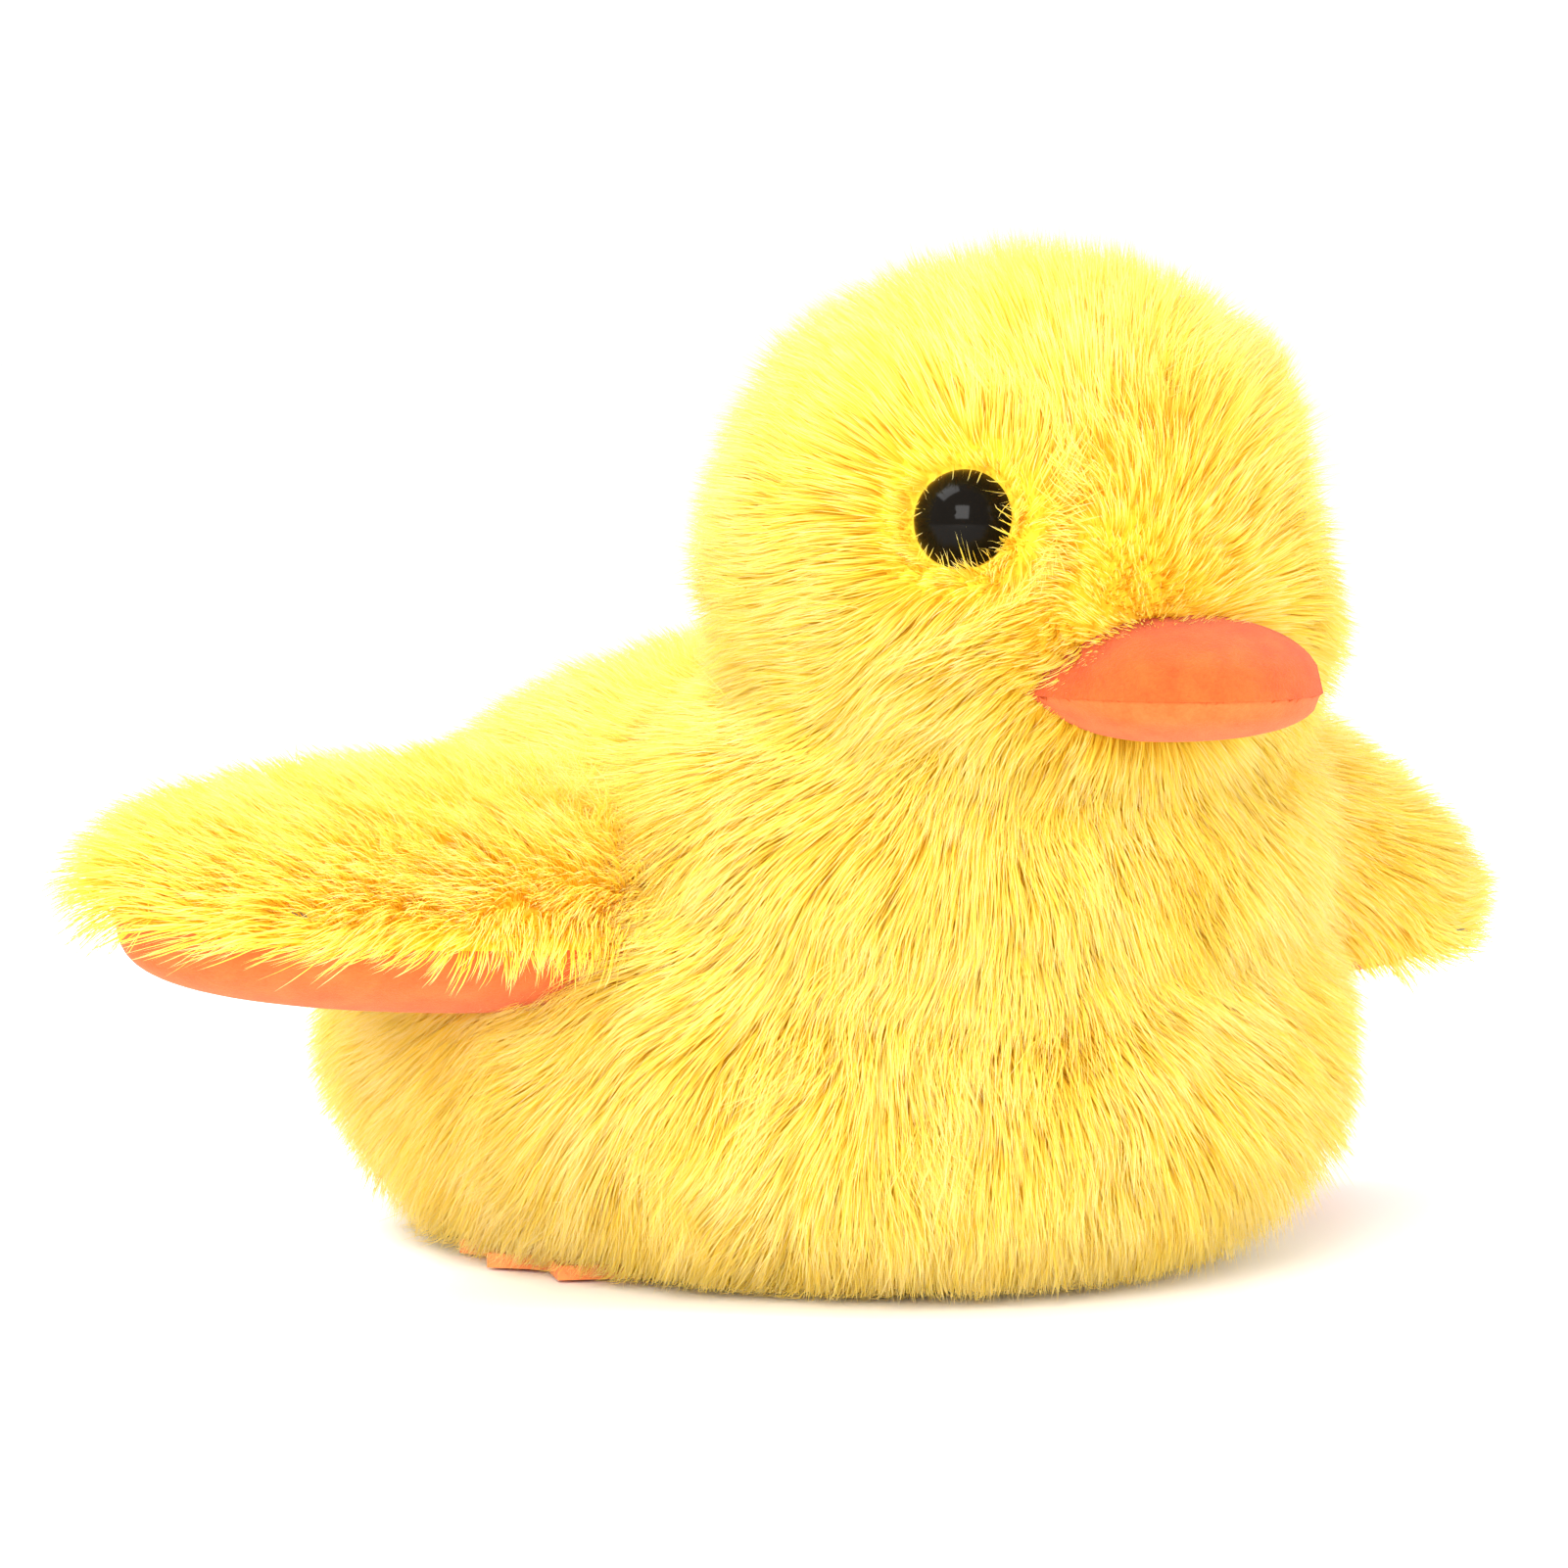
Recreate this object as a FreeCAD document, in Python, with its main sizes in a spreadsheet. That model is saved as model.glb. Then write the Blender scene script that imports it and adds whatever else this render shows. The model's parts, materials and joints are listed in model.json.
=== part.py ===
"""Plush duckling with a clockwork hopping motor, built as separate pieces.

Millimetres.  +Z is up, the duckling looks along -Y and its left side is +X.  The origin lies on
the flat underside of the base plate, in the duckling's middle plane.
"""
import FreeCAD, Part
import math
import os
import re

Vector = FreeCAD.Vector
Rotation = FreeCAD.Rotation
Placement = FreeCAD.Placement

# Driving dimensions: each one is a cell of the sheet.
SIZES = dict(
    # body and head covers (outer radii), fur fabric and its compressed pile
    body_wide=40.0,
    body_long=48.0,
    body_rise=33.0,
    body_drop=24.0,
    body_back=5.0,
    base_back=5.0,
    body_middle=18.0,
    cover_thick=3.5,
    hem_height=2.0,
    head_wide=25.0,
    head_rise=23.5,
    head_front=-21.0,
    head_middle=60.0,
    head_thick=5.0,
    soft_gap=0.1,
    # bill and eyes
    bill_wide=13.0,
    bill_long=15.5,
    bill_rise=6.2,
    bill_drop=4.0,
    bill_front=-39.0,
    bill_seam=50.5,
    eye_radius=4.0,
    eye_dome=3.0,
    eye_seat=20.6,
    eye_stem=0.8,
    washer_radius=4.4,
    washer_thick=0.8,
    # base plate and hop foot
    base_wide=23.5,
    base_long=28.8,
    pad_wide=21.0,
    pad_long=25.4,
    pad_high=2.4,
    slab_thick=1.6,
    foot_lift=0.3,
    foot_thick=1.2,
    foot_pin_back=20.0,
    foot_pin_high=1.8,
    foot_pin_radius=0.7,
    knuckle_radius=1.3,
    knuckle_half=5.8,
    # gear plates
    plate_inner=11.0,
    plate_thick=1.2,
    plate_front=-20.0,
    plate_rear=22.0,
    plate_top=31.0,
    post_radius=1.6,
    screw_radius=0.7,
    # gear train
    arbor_back=9.0,
    arbor_high=16.0,
    arbor_radius=1.4,
    shaft_radius=0.9,
    pivot_radius=0.7,
    running_gap=0.05,
    mesh_gap=0.1,
    drive_module=0.6,
    speed_module=0.5,
    great_teeth=36,
    crank_teeth=30,
    pinion_teeth=12,
    escape_radius=4.0,
    governor_drop=6.8,
    # cam, lifter and wing arms
    cam_radius=3.4,
    cam_throw=1.9,
    lifter_thick=4.0,
    lifter_wall=1.4,
    lifter_gap=0.3,
    wing_pivot_out=14.0,
    wing_pivot_high=35.0,
    wing_pin_radius=1.0,
    lever_length=9.5,
    lever_radius=1.2,
    hub_radius=2.2,
    # wings (soft lens-shaped pillows)
    wing_reach=25.0,
    wing_chord=18.0,
    wing_lens=5.5,
    wing_out=33.0,
    wing_back=8.0,
    wing_sink=4.5,
    wing_skin=1.2,
    # winding knob
    knob_start=41.2,
    knob_length=5.0,
    knob_radius=5.2,
    shaft_tunnel=3.0,
)
WING_TILT = 12.0                       # degrees, the wing's front edge hangs lower
WING_DROOP = {"left": 9.0, "right": -1.5}   # degrees, the stuffed wings hang unevenly
SIDES = {"left": 1, "right": -1}
DRIVE_ANGLE = 165.0                    # degrees in the YZ plane, from the arbor to the crankshaft
SPEED_ANGLE = 180.0                    # degrees in the YZ plane, from the crankshaft to the escape shaft
PRESSURE = math.radians(25.0)          # pressure angle of all the gear teeth
EYE_TURN = 49.0                        # degrees sideways from straight ahead
EYE_RISE = 12.0                        # degrees above the head's middle
POST_PLACES = ((-17.5, 28.0), (19.5, 28.0), (19.5, 6.5), (-10.0, 6.5))   # (y, z)
BIG = 120.0                            # longer than the whole toy, for cutting tools

doc = FreeCAD.newDocument("hopping_duckling")
sheet = doc.addObject("Spreadsheet::Sheet", "sizes")
nodes = []


def fill_sheet():
    """Put every driving dimension in a cell that carries its name."""
    for row, (name, value) in enumerate(SIZES.items(), start=1):
        sheet.set(f"A{row}", name)
        sheet.set(f"B{row}", str(value))
        sheet.setAlias(f"B{row}", name)
    doc.recompute()


def size(name):
    return float(sheet.get(name))


def formula(text):
    """Turn the sheet names in a formula into references to the sheet's cells."""
    return re.sub(r"[a-z]+_[a-z_]+", lambda found: "sizes." + found.group(0), text)


def bind(obj, **formulas):
    for prop, text in formulas.items():
        obj.setExpression(prop, formula(text))
    return obj


def at(x=0.0, y=0.0, z=0.0, turn=None):
    return Placement(Vector(x, y, z), turn or Rotation())


ALONG_X = Rotation(Vector(0, 1, 0), 90)
ALONG_Y = Rotation(Vector(1, 0, 0), -90)


def solid(kind, name, place, **formulas):
    """A Part primitive whose sizes follow the sheet."""
    obj = doc.addObject(kind, name)
    bind(obj, **formulas)
    obj.Placement = place
    return obj


def cylinder(name, place, radius, height):
    return solid("Part::Cylinder", name, place, Radius=radius, Height=height)


def box(name, low, high):
    """A block between two corners given in millimetres."""
    obj = doc.addObject("Part::Box", name)
    obj.Length, obj.Width, obj.Height = (b - a for a, b in zip(low, high))
    obj.Placement = at(*low)
    return obj


def cut(name, base, *tools):
    result = base
    for step, tool in enumerate(tools, start=1):
        step_name = name if step == len(tools) else f"{name}_step_{step}"
        obj = doc.addObject("Part::Cut", step_name)
        obj.Base, obj.Tool = result, tool
        result = obj
    return result


def fuse(name, *shapes):
    obj = doc.addObject("Part::MultiFuse", name)
    obj.Shapes = list(shapes)
    return obj


def node(obj, label):
    """Register a finished sub-part under the name of its file."""
    obj.Label = label
    nodes.append(obj)
    return obj


def egg(name, place, wide, long, rise, drop):
    """A closed egg: two half ellipsoids that meet at their widest section."""
    upper = solid("Part::Ellipsoid", f"{name}_upper", place, Radius1=rise, Radius2=wide, Radius3=long)
    upper.Angle1 = 0
    lower = solid("Part::Ellipsoid", f"{name}_lower", place, Radius1=drop, Radius2=wide, Radius3=long)
    lower.Angle2 = 0
    return fuse(name, upper, lower)


def half_lens(name, place, wide, long, rise, is_upper):
    obj = solid("Part::Ellipsoid", name, place, Radius1=rise, Radius2=wide, Radius3=long)
    if is_upper:
        obj.Angle1 = 0
    else:
        obj.Angle2 = 0
    return obj


def ellipse_slab(name, place, wide, long, high):
    """A flat plate with an elliptical outline, longer along Y."""
    outline = solid("Part::Ellipse", f"{name}_outline", Placement(), MajorRadius=long, MinorRadius=wide)
    outline.Placement = Placement(place.Base, Rotation(Vector(0, 0, 1), 90))
    slab = doc.addObject("Part::Extrusion", name)
    slab.Base = outline
    slab.DirMode = "Custom"
    slab.Dir = Vector(0, 0, 1)
    slab.Solid = True
    return bind(slab, LengthFwd=high)


# ---------------------------------------------------------------- PartDesign helpers

def new_body(name):
    return doc.addObject("PartDesign::Body", name)


def plane_of(body, role):
    return next(item for item in body.Origin.OriginFeatures if item.Role == role)


def sketch_on(body, name, role="XY_Plane"):
    sketch = body.newObject("Sketcher::SketchObject", name)
    sketch.AttachmentSupport = [(plane_of(body, role), "")]
    sketch.MapMode = "FlatFace"
    return sketch


def add_outline(sketch, points):
    """A closed outline of straight edges through the points."""
    corners = [Vector(x, y, 0) for x, y in points]
    for start, end in zip(corners, corners[1:] + corners[:1]):
        sketch.addGeometry(Part.LineSegment(start, end), False)


def add_circle(sketch, x, y, radius):
    sketch.addGeometry(Part.Circle(Vector(x, y, 0), Vector(0, 0, 1), radius), False)


def pad(body, sketch, name, length):
    feature = body.newObject("PartDesign::Pad", name)
    feature.Profile = sketch
    return bind(feature, Length=length)


# ---------------------------------------------------------------- derived positions

def polar(centre, distance, degrees):
    angle = math.radians(degrees)
    return centre[0] + distance * math.cos(angle), centre[1] + distance * math.sin(angle)


def pitch_radius(module, teeth):
    return size(module) * size(teeth) / 2


fill_sheet()
ARBOR = (size("arbor_back"), size("arbor_high"))
DRIVE_REACH = pitch_radius("drive_module", "great_teeth") + pitch_radius("drive_module", "pinion_teeth")
CRANK = polar(ARBOR, DRIVE_REACH + size("mesh_gap"), DRIVE_ANGLE)
SPEED_REACH = pitch_radius("speed_module", "crank_teeth") + pitch_radius("speed_module", "pinion_teeth")
ESCAPE = polar(CRANK, SPEED_REACH + size("mesh_gap"), SPEED_ANGLE)
GOVERNOR = (ESCAPE[0], ESCAPE[1] - size("governor_drop"))
BODY_CENTRE = at(0, size("body_back"), size("body_middle"))
HEAD_CENTRE = at(0, size("head_front"), size("head_middle"))
STROKE = 2 * size("cam_throw")
SLAB_TOP = size("pad_high") + size("slab_thick")
PLATE_OUTER = size("plate_inner") + size("plate_thick")


def body_egg(name, inset):
    """The body's egg, made smaller all round by the inset formula."""
    return egg(name, BODY_CENTRE, f"body_wide - ({inset})", f"body_long - ({inset})",
               f"body_rise - ({inset})", f"body_drop - ({inset})")


def head_egg(name, inset):
    return solid("Part::Ellipsoid", name, HEAD_CENTRE, Radius1=f"head_rise - ({inset})",
                 Radius2=f"head_wide - ({inset})", Radius3=f"head_wide - ({inset})")


def eye_frame(side):
    """Placement at the head's middle whose Z axis runs out through one eye."""
    turn, rise = math.radians(EYE_TURN), math.radians(EYE_RISE)
    outward = Vector(side * math.sin(turn) * math.cos(rise), -math.cos(turn) * math.cos(rise), math.sin(rise))
    return Placement(HEAD_CENTRE.Base, Rotation(Vector(0, 0, 1), outward))


def along(frame, distance):
    return frame * at(0, 0, distance)


def wing_frame(side_name):
    """Placement of a wing's own frame: at its hinge, drooped and tilted."""
    side = SIDES[side_name]
    droop = Rotation(Vector(0, 1, 0), side * WING_DROOP[side_name])
    tilt = Rotation(Vector(1, 0, 0), WING_TILT)
    hinge = Vector(side * size("wing_pivot_out"), CRANK[0], size("wing_pivot_high"))
    return Placement(hinge, droop * tilt)


def wing_slot(name, side):
    """The shoulder opening through which one wing arm swings."""
    inner, outer = 18.5, 46.0
    low_x, high_x = sorted((side * inner, side * outer))
    return box(name, (low_x, CRANK[0] - 5.0, 23.0), (high_x, CRANK[0] + 5.0, 52.0))


# ---------------------------------------------------------------- covers and stuffing

def make_body_cover():
    outer = body_egg("body_cover_outer", "0")
    inner = body_egg("body_cover_inner", "cover_thick")
    below = box("body_cover_below", (-BIG, -BIG, -BIG), (BIG, BIG, size("hem_height")))
    tunnel = cylinder("body_cover_tunnel", at(PLATE_OUTER, *ARBOR, ALONG_X), "shaft_tunnel", "knob_start")
    slots = [wing_slot(f"body_cover_slot_{name}", side) for name, side in SIDES.items()]
    node(cut("body_cover", outer, inner, below, tunnel, *slots), "body_cover")


def make_body_stuffing():
    filling = body_egg("stuffing_egg", "cover_thick + soft_gap")
    below = box("stuffing_below", (-BIG, -BIG, -BIG), (BIG, BIG, SLAB_TOP + 0.5))
    room = box("stuffing_room", (-14.5, -23.0, 0.0), (14.5, 25.0, 32.0))
    attic = box("stuffing_attic", (-18.5, CRANK[0] - 10.0, 27.0), (18.5, CRANK[0] + 10.0, 52.0))
    tunnel = cylinder("stuffing_tunnel", at(PLATE_OUTER, *ARBOR, ALONG_X), "shaft_tunnel", "knob_start")
    slots = [wing_slot(f"stuffing_slot_{name}", side) for name, side in SIDES.items()]
    node(cut("body_stuffing", filling, below, room, attic, tunnel, *slots), "body_stuffing")


def make_head_cover():
    tools = [head_egg("head_cover_inner", "head_thick"), body_egg("head_cover_neck", "0")]
    for name, side in SIDES.items():
        frame = eye_frame(side)
        tools.append(cylinder(f"head_recess_{name}", along(frame, size("eye_seat")), "eye_radius + 0.2", "10"))
        tools.append(cylinder(f"head_stem_hole_{name}", along(frame, 15.0), "eye_stem", "10"))
    node(cut("head_cover", head_egg("head_cover_outer", "0"), *tools), "head_cover")


def make_head_stuffing():
    tools = [body_egg("head_stuffing_neck", "0 - soft_gap")]
    for name, side in SIDES.items():
        place = along(eye_frame(side), 15.0)
        tools.append(cylinder(f"head_washer_room_{name}", place, "washer_radius + 0.3", "10"))
    node(cut("head_stuffing", head_egg("head_stuffing_egg", "head_thick + soft_gap"), *tools), "head_stuffing")


def make_bill():
    """Two fleece pillows, one on the other, that start at the face of the head."""
    seam = at(0, size("bill_front"), size("bill_seam"))
    upper = half_lens("bill_upper_lens", seam, "bill_wide", "bill_long", "bill_rise", True)
    lower = half_lens("bill_lower_lens", seam, "bill_wide", "bill_long", "bill_drop", False)
    node(cut("bill_upper", upper, head_egg("bill_upper_face", "0")), "bill_upper")
    node(cut("bill_lower", lower, head_egg("bill_lower_face", "0")), "bill_lower")


def make_eye(name, side):
    """A domed safety eye on a stem, and the washer that locks it inside the head."""
    frame = eye_frame(side)
    radius, dome = size("eye_radius"), size("eye_dome")
    ball = (radius ** 2 + dome ** 2) / (2 * dome)
    cap = solid("Part::Sphere", f"{name}_eye_cap", along(frame, size("eye_seat") + dome - ball),
                Radius="(eye_radius ^ 2 + eye_dome ^ 2) / (2 * eye_dome)")
    cap.Angle1 = math.degrees(math.asin((ball - dome) / ball))
    stem = cylinder(f"{name}_eye_stem", along(frame, 16.5), "eye_stem", "eye_seat - 16.5")
    node(fuse(f"{name}_eye", cap, stem), f"{name}_eye")
    seat = along(frame, size("eye_seat") - 2.2)
    ring = cylinder(f"{name}_washer_disc", seat, "washer_radius", "washer_thick")
    hole = cylinder(f"{name}_washer_hole", seat, "eye_stem", "washer_thick")
    node(cut(f"{name}_eye_washer", ring, hole), f"{name}_eye_washer")


# ---------------------------------------------------------------- base and hop foot

def make_base_plate():
    """A slab on two low pads.  The hop foot lies in the gap between the pads."""
    back = size("base_back")
    slab = ellipse_slab("base_slab", at(0, back, size("pad_high")), "base_wide", "base_long", "slab_thick")
    pads = ellipse_slab("base_pads", at(0, back, 0), "pad_wide", "pad_long", "pad_high")
    whole = fuse("base_whole", slab, pads)
    foot_room = box("base_foot_room", (-BIG, -14.5, -1.0), (BIG, 12.5, size("pad_high")))
    tail_room = box("base_tail_room", (-6.2, 12.0, -1.0), (6.2, 22.5, size("pad_high")))
    knuckle_room = box("base_knuckle_room", (-6.2, 17.5, -1.0), (6.2, 22.5, 3.3))
    half = size("lifter_thick") / 2 + 0.4
    stem_slot = box("base_stem_slot", (-half, CRANK[0] - 3.0, 0.0), (half, CRANK[0] + 3.0, SLAB_TOP + 1.0))
    pin_place = at(-10.0, size("foot_pin_back"), size("foot_pin_high"), ALONG_X)
    pin_hole = cylinder("base_pin_hole", pin_place, "foot_pin_radius", "20")
    node(cut("base_plate", whole, foot_room, tail_room, knuckle_room, stem_slot, pin_hole), "base_plate")
    pin = cylinder("foot_hinge_pin", pin_place, "foot_pin_radius", "20")
    node(pin, "foot_hinge_pin")


def make_hop_foot():
    """Two webbed feet and the tongue that joins them, on one hinge knuckle."""
    tongue = size("knuckle_half")
    half = [(tongue, 20.0), (tongue, 3.0), (19.0, 4.0), (24.5, 12.0), (32.0, 16.5), (30.5, 11.5), (34.0, 8.5),
            (30.5, 4.5), (32.5, -0.5), (24.5, -4.0), (19.0, -8.0), (tongue, -9.0)]
    outline = half + [(-x, y) for x, y in reversed(half)]
    body = new_body("foot_plate")
    sketch = sketch_on(body, "foot_outline")
    add_outline(sketch, outline)
    pad(body, sketch, "foot_pad", "foot_thick")
    body.Placement = at(0, 0, size("foot_lift"))
    place = at(-tongue, size("foot_pin_back"), size("foot_pin_high"), ALONG_X)
    knuckle = cylinder("foot_knuckle", place, "knuckle_radius", "2 * knuckle_half")
    bore = cylinder("foot_bore", place, "foot_pin_radius + running_gap", "2 * knuckle_half")
    node(cut("hop_foot", fuse("foot_blank", body, knuckle), bore), "hop_foot")


# ---------------------------------------------------------------- clockwork frame

def make_gear_plate(name, start):
    """One side plate of the gearbox, drilled for the four shafts and the post screws."""
    body = new_body(f"{name}_gear_plate")
    sketch = sketch_on(body, f"{name}_plate_outline", "YZ_Plane")
    front, rear, top = size("plate_front"), size("plate_rear"), size("plate_top")
    add_outline(sketch, [(front, SLAB_TOP), (rear, SLAB_TOP), (rear, top), (front, top)])
    gap = size("running_gap")
    for centre, radius in ((ARBOR, "arbor_radius"), (CRANK, "shaft_radius"),
                           (ESCAPE, "pivot_radius"), (GOVERNOR, "pivot_radius")):
        add_circle(sketch, *centre, size(radius) + gap)
    for y, z in POST_PLACES:
        add_circle(sketch, y, z, size("screw_radius"))
    pad(body, sketch, f"{name}_plate_pad", "plate_thick")
    body.Placement = at(start, 0, 0)
    node(body, f"{name}_gear_plate")


def make_posts():
    """Four spacer posts between the plates, each with a long screw from the left."""
    inner = size("plate_inner")
    for number, (y, z) in enumerate(POST_PLACES, start=1):
        place = at(-inner, y, z, ALONG_X)
        rod = cylinder(f"post_rod_{number}", place, "post_radius", "2 * plate_inner")
        bore = cylinder(f"post_bore_{number}", place, "screw_radius", "2 * plate_inner")
        node(cut(f"spacer_post_{number}", rod, bore), f"spacer_post_{number}")
        shank = cylinder(f"screw_shank_{number}", at(-PLATE_OUTER, y, z, ALONG_X), "screw_radius",
                         "2 * (plate_inner + plate_thick)")
        head = cylinder(f"screw_head_{number}", at(PLATE_OUTER, y, z, ALONG_X), "post_radius", "0.9")
        node(fuse(f"plate_screw_{number}", shank, head), f"plate_screw_{number}")


def make_mainspring():
    """A flat spiral ribbon around the arbor, hooked on its own post."""
    inner, outer, turns, ribbon, wide = 2.1, 9.6, 5.0, 0.35, 3.0
    steps = 120
    rails = []
    for offset in (-ribbon / 2, ribbon / 2):
        points = []
        for step in range(steps + 1):
            share = step / steps
            radius = inner + (outer - inner) * share + offset
            angle = 2 * math.pi * turns * share + math.radians(45)
            points.append(Vector(0, ARBOR[0] + radius * math.cos(angle), ARBOR[1] + radius * math.sin(angle)))
        rail = Part.BSplineCurve()
        rail.interpolate(points)
        rails.append((rail.toShape(), points[0], points[-1]))
    (inside, in_start, in_end), (outside, out_start, out_end) = rails
    edges = [inside, Part.makeLine(in_end, out_end), outside, Part.makeLine(out_start, in_start)]
    face = Part.Face(Part.Wire(Part.__sortEdges__(edges)))
    spring = doc.addObject("Part::Feature", "mainspring")
    spring.Shape = face.extrude(Vector(wide, 0, 0))
    spring.Placement = at(-9.5, 0, 0)
    node(spring, "mainspring")
    y, z = polar(ARBOR, outer + ribbon / 2 + 0.85, 45)
    node(cylinder("spring_post", at(-size("plate_inner"), y, z, ALONG_X), "0.8", "plate_inner"), "spring_post")


# ---------------------------------------------------------------- wheels

def involute(angle):
    return math.tan(angle) - angle


def tooth_gap(module, teeth, backlash=0.08):
    """Corners of one gap between two involute teeth, centred on the +X axis."""
    pitch = module * teeth / 2
    base, tip, root = pitch * math.cos(PRESSURE), pitch + 0.9 * module, pitch - 1.2 * module
    half_tooth = math.pi / (2 * teeth) - backlash / (2 * pitch)
    lowest = max(base, root)
    radii = [tip, (tip + pitch) / 2, pitch, (pitch + lowest) / 2, lowest]
    flank = []
    for radius in radii:
        cosine = min(1.0, base / radius)
        half = half_tooth + involute(PRESSURE) - involute(math.acos(cosine))
        flank.append((radius, math.pi / teeth - half))
    flank.insert(0, (tip + 0.3, flank[0][1]))
    flank.append((root, flank[-1][1] * 0.95))
    one_side = [(radius * math.cos(angle), radius * math.sin(angle)) for radius, angle in flank]
    return one_side + [(x, -y) for x, y in reversed(one_side)]


def wheel(label, module, teeth, bore, centre, start, thick, tooth_towards=None, gap_towards=None):
    """A spur wheel on a shaft along X, turned so that a tooth or a gap faces a given way."""
    body = new_body(label)
    blank = sketch_on(body, f"{label}_blank")
    count = int(size(teeth))
    tip = pitch_radius(module, teeth) + 0.9 * size(module)
    add_circle(blank, 0, 0, tip)
    add_circle(blank, 0, 0, size(bore))
    pad(body, blank, f"{label}_disc", str(thick))
    profile = sketch_on(body, f"{label}_gap")
    add_outline(profile, tooth_gap(size(module), count))
    doc.recompute()
    pocket = body.newObject("PartDesign::Pocket", f"{label}_pocket")
    pocket.Profile = profile
    pocket.Type = 1
    pocket.Reversed = True
    doc.recompute()
    pattern = body.newObject("PartDesign::PolarPattern", f"{label}_teeth")
    pattern.Originals = [pocket]
    pattern.Axis = (profile, ["N_Axis"])
    pattern.Angle = 360
    bind(pattern, Occurrences=teeth)
    body.Tip = pattern
    towards = gap_towards if tooth_towards is None else tooth_towards + 180.0 / count
    body.Placement = at(start, *centre, ALONG_X * Rotation(Vector(0, 0, 1), towards + 90))
    node(body, label)


def make_winding_train():
    """Knob, arbor and great wheel: they turn together."""
    reach = size("knob_start") + PLATE_OUTER + 1.0
    node(cylinder("winding_arbor", at(-PLATE_OUTER - 0.5, *ARBOR, ALONG_X), "arbor_radius", str(reach)),
         "winding_arbor")
    wheel("great_wheel", "drive_module", "great_teeth", "arbor_radius", ARBOR, 6.5, 2.0,
          tooth_towards=DRIVE_ANGLE)
    place = at(size("knob_start"), *ARBOR, ALONG_X)
    blank = cylinder("knob_blank", place, "knob_radius", "knob_length")
    tools = [cylinder("knob_bore", place, "arbor_radius", "1.5")]
    for number in range(12):
        y, z = polar(ARBOR, size("knob_radius") + 0.3, number * 30)
        tools.append(cylinder(f"knob_flute_{number}", at(size("knob_start") - 1, y, z, ALONG_X), "0.8", "8"))
    flutes = fuse("knob_flutes", *tools)
    node(cut("winding_knob", blank, flutes), "winding_knob")


def make_crank_train():
    """Crankshaft with its pinion, the crank wheel and the eccentric cam."""
    node(cylinder("crankshaft", at(-PLATE_OUTER, *CRANK, ALONG_X), "shaft_radius",
                  "2 * (plate_inner + plate_thick)"), "crankshaft")
    wheel("crank_pinion", "drive_module", "pinion_teeth", "shaft_radius", CRANK, 6.0, 3.0,
          gap_towards=DRIVE_ANGLE + 180)
    wheel("crank_wheel", "speed_module", "crank_teeth", "shaft_radius", CRANK, 3.0, 1.5,
          tooth_towards=SPEED_ANGLE)
    disc = cylinder("cam_disc", at(-1.8, CRANK[0], CRANK[1] + size("cam_throw"), ALONG_X), "cam_radius", "3.6")
    bore = cylinder("cam_bore", at(-1.8, *CRANK, ALONG_X), "shaft_radius", "3.6")
    node(cut("lifter_cam", disc, bore), "lifter_cam")


def make_escape_train():
    """Escape shaft with its pinion and the toothed escape wheel."""
    node(cylinder("escape_shaft", at(-PLATE_OUTER, *ESCAPE, ALONG_X), "pivot_radius",
                  "2 * (plate_inner + plate_thick)"), "escape_shaft")
    wheel("escape_pinion", "speed_module", "pinion_teeth", "pivot_radius", ESCAPE, 2.6, 2.4,
          gap_towards=SPEED_ANGLE + 180)
    body = new_body("escape_wheel")
    sketch = sketch_on(body, "escape_outline")
    teeth, tip, root = 15, size("escape_radius"), size("escape_radius") - 0.8
    points = []
    for number in range(teeth):
        start = 360.0 * number / teeth
        points.append(polar((0, 0), tip, start))
        points.append(polar((0, 0), root, start + 14.0))
    add_outline(sketch, points)
    add_circle(sketch, 0, 0, size("pivot_radius"))
    pad(body, sketch, "escape_pad", "1.2")
    body.Placement = at(-6.0, *ESCAPE, ALONG_X)
    node(body, "escape_wheel")


def make_governor():
    """The rocking weight that keeps the escape wheel from racing."""
    node(cylinder("governor_shaft", at(-PLATE_OUTER, *GOVERNOR, ALONG_X), "pivot_radius",
                  "2 * (plate_inner + plate_thick)"), "governor_shaft")
    y, z = GOVERNOR
    hub = cylinder("governor_hub", at(-6.4, y, z, ALONG_X), "1.5", "2")
    weight = cylinder("governor_bob", at(-6.4, y, z - 2.6, ALONG_X), "2.2", "2")
    arms = []
    for number, lean in enumerate((50.0, -50.0)):
        arm = box(f"governor_arm_{number}", (-6.4, -0.45, 0.8), (-4.4, 0.45, 4.0))
        turn = Rotation(Vector(1, 0, 0), lean)
        arm.Placement = Placement(Vector(-6.4, y, z) + turn.multVec(Vector(0, -0.45, 0.8)), turn)
        arms.append(arm)
    bore = cylinder("governor_bore", at(-6.4, y, z, ALONG_X), "pivot_radius", "2")
    node(cut("governor_weight", fuse("governor_blank", hub, weight, *arms), bore), "governor_weight")


# ---------------------------------------------------------------- lifter and wings

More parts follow.
